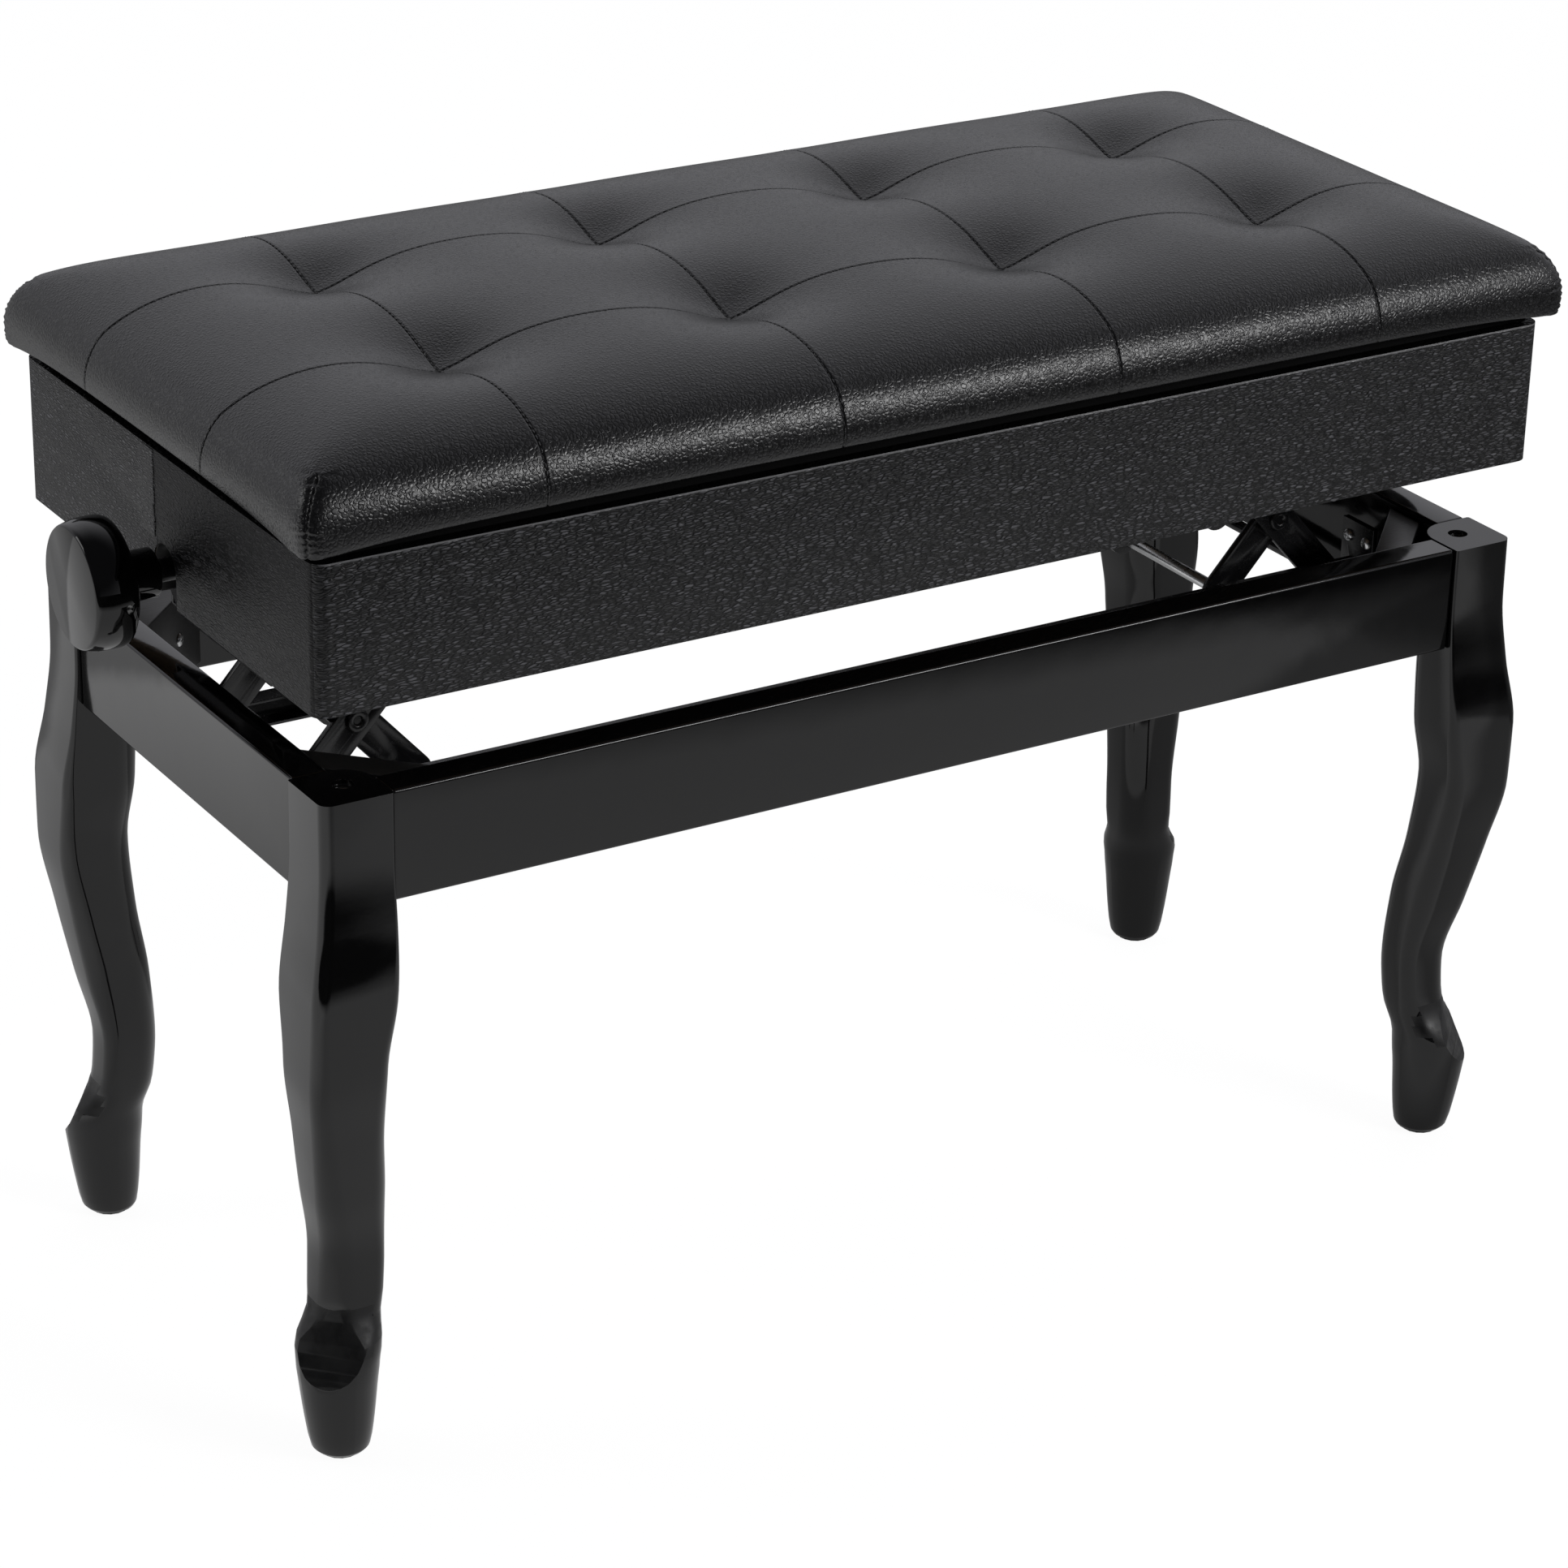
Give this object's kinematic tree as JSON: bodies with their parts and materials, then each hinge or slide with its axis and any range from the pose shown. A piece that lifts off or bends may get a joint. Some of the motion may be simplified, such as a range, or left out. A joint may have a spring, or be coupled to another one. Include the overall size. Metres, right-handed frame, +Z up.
{
  "type": "piano bench",
  "caption": "Height-adjustable duet piano bench with cabriole legs, a button-tufted cushion and a storage box under its hinged lid.",
  "frame": {"origin": "on the floor, at the middle of the bench", "axes": "+X along the bench to its right end, +Y towards its back, where the lid is hinged, and +Z up"},
  "size_m": [0.842, 0.36, 0.5669],
  "materials": {
    "lacquered_wood": "gloss black lacquer",
    "board": "bare board",
    "seat_cover": "black grained leatherette over foam",
    "box_cover": "black embossed leatherette",
    "black_steel": "black paint",
    "zinc_steel": "bright zinc plating",
    "knob": "gloss black",
    "pad": "matte"
  },
  "bodies": {
    "leg_frame": {"leg_front_left": "lacquered_wood", "leg_front_right": "lacquered_wood", "leg_back_left": "lacquered_wood", "leg_back_right": "lacquered_wood", "leg_bolt_front_left": "zinc_steel", "leg_bolt_front_right": "zinc_steel", "leg_bolt_back_left": "zinc_steel", "leg_bolt_back_right": "zinc_steel", "foot_pad_front_left": "pad", "foot_pad_front_right": "pad", "foot_pad_back_left": "pad", "foot_pad_back_right": "pad", "corner_block_front_left": "board", "corner_block_front_right": "board", "corner_block_back_left": "board", "corner_block_back_right": "board", "apron_front": "lacquered_wood", "apron_back": "lacquered_wood", "apron_left": "lacquered_wood", "apron_right": "lacquered_wood", "base_rail_front": "black_steel", "base_rail_back": "black_steel", "base_pivot_shaft_left": "zinc_steel", "base_pivot_shaft_right": "zinc_steel"},
    "seat": {"box_front": "board", "box_back": "board", "box_left": "board", "box_right": "board", "box_floor": "board", "box_wrap": "box_cover", "seat_rail_front": "black_steel", "seat_rail_back": "black_steel", "seat_end_plate_left": "black_steel", "seat_end_plate_right": "black_steel", "seat_pivot_shaft_left": "zinc_steel", "seat_pivot_shaft_right": "zinc_steel", "hinge_leaf_box": "zinc_steel", "hinge_pin": "zinc_steel"},
    "lid": {"lid_board": "board", "cushion": "seat_cover", "hinge_leaf_lid": "zinc_steel"},
    "base_arms_left": {"base_arm_left_front": "black_steel", "base_arm_left_back": "black_steel", "seat_slide_shaft_left": "zinc_steel", "middle_shaft_left": "zinc_steel"},
    "seat_arms_left": {"seat_arm_left_front": "black_steel", "seat_arm_left_back": "black_steel", "base_slide_shaft_left": "zinc_steel"},
    "nut_left": {"lift_nut_left": "black_steel"},
    "base_arms_right": {"base_arm_right_front": "black_steel", "base_arm_right_back": "black_steel", "seat_slide_shaft_right": "zinc_steel", "middle_shaft_right": "zinc_steel"},
    "seat_arms_right": {"seat_arm_right_front": "black_steel", "seat_arm_right_back": "black_steel", "base_slide_shaft_right": "zinc_steel"},
    "nut_right": {"lift_nut_right": "black_steel"},
    "adjuster": {"adjuster_rod": "black_steel", "knob_left": "knob", "knob_right": "knob"}
  },
  "joints": [
    {"name": "seat_lift", "type": "slide", "parent": "leg_frame", "child": "seat", "axis": [0, 0, 1], "range_m": [-0.04, 0.008]},
    {"name": "lid_hinge", "type": "hinge", "parent": "seat", "child": "lid", "pos_m": [0, 0.1729, 0.50275], "axis": [-1, 0, 0], "range_deg": [0, 95]},
    {"name": "base_arms_left_turn", "type": "hinge", "parent": "leg_frame", "child": "base_arms_left", "pos_m": [-0.326, 0, 0.324], "axis": [0, -1, 0], "range_deg": [-28.5, 6.1]},
    {"name": "seat_arms_left_turn", "type": "hinge", "parent": "seat", "child": "seat_arms_left", "pos_m": [-0.326, 0, 0.401], "axis": [0, 1, 0], "range_deg": [-28.5, 6.1]},
    {"name": "nut_left_travel", "type": "slide", "parent": "seat", "child": "nut_left", "axis": [-1, 0, 0], "range_m": [-0.0301, 0.0061]},
    {"name": "base_arms_right_turn", "type": "hinge", "parent": "leg_frame", "child": "base_arms_right", "pos_m": [0.326, 0, 0.324], "axis": [0, 1, 0], "range_deg": [-28.5, 6.1]},
    {"name": "seat_arms_right_turn", "type": "hinge", "parent": "seat", "child": "seat_arms_right", "pos_m": [0.326, 0, 0.401], "axis": [0, -1, 0], "range_deg": [-28.5, 6.1]},
    {"name": "nut_right_travel", "type": "slide", "parent": "seat", "child": "nut_right", "axis": [1, 0, 0], "range_m": [-0.0301, 0.0061]},
    {"name": "knob_turn", "type": "hinge", "parent": "seat", "child": "adjuster", "pos_m": [0, 0, 0.441], "axis": [1, 0, 0], "range_deg": [-2701, 541]}
  ],
  "couplings": [
    {"joint": "base_arms_left_turn", "follows": "seat_lift", "rad_per_m": 12.217},
    {"joint": "seat_arms_left_turn", "follows": "seat_lift", "rad_per_m": 12.217},
    {"joint": "nut_left_travel", "follows": "seat_lift", "ratio": 0.75},
    {"joint": "base_arms_right_turn", "follows": "seat_lift", "rad_per_m": 12.217},
    {"joint": "seat_arms_right_turn", "follows": "seat_lift", "rad_per_m": 12.217},
    {"joint": "nut_right_travel", "follows": "seat_lift", "ratio": 0.75},
    {"joint": "knob_turn", "follows": "seat_lift", "rad_per_m": 1178.1}
  ]
}
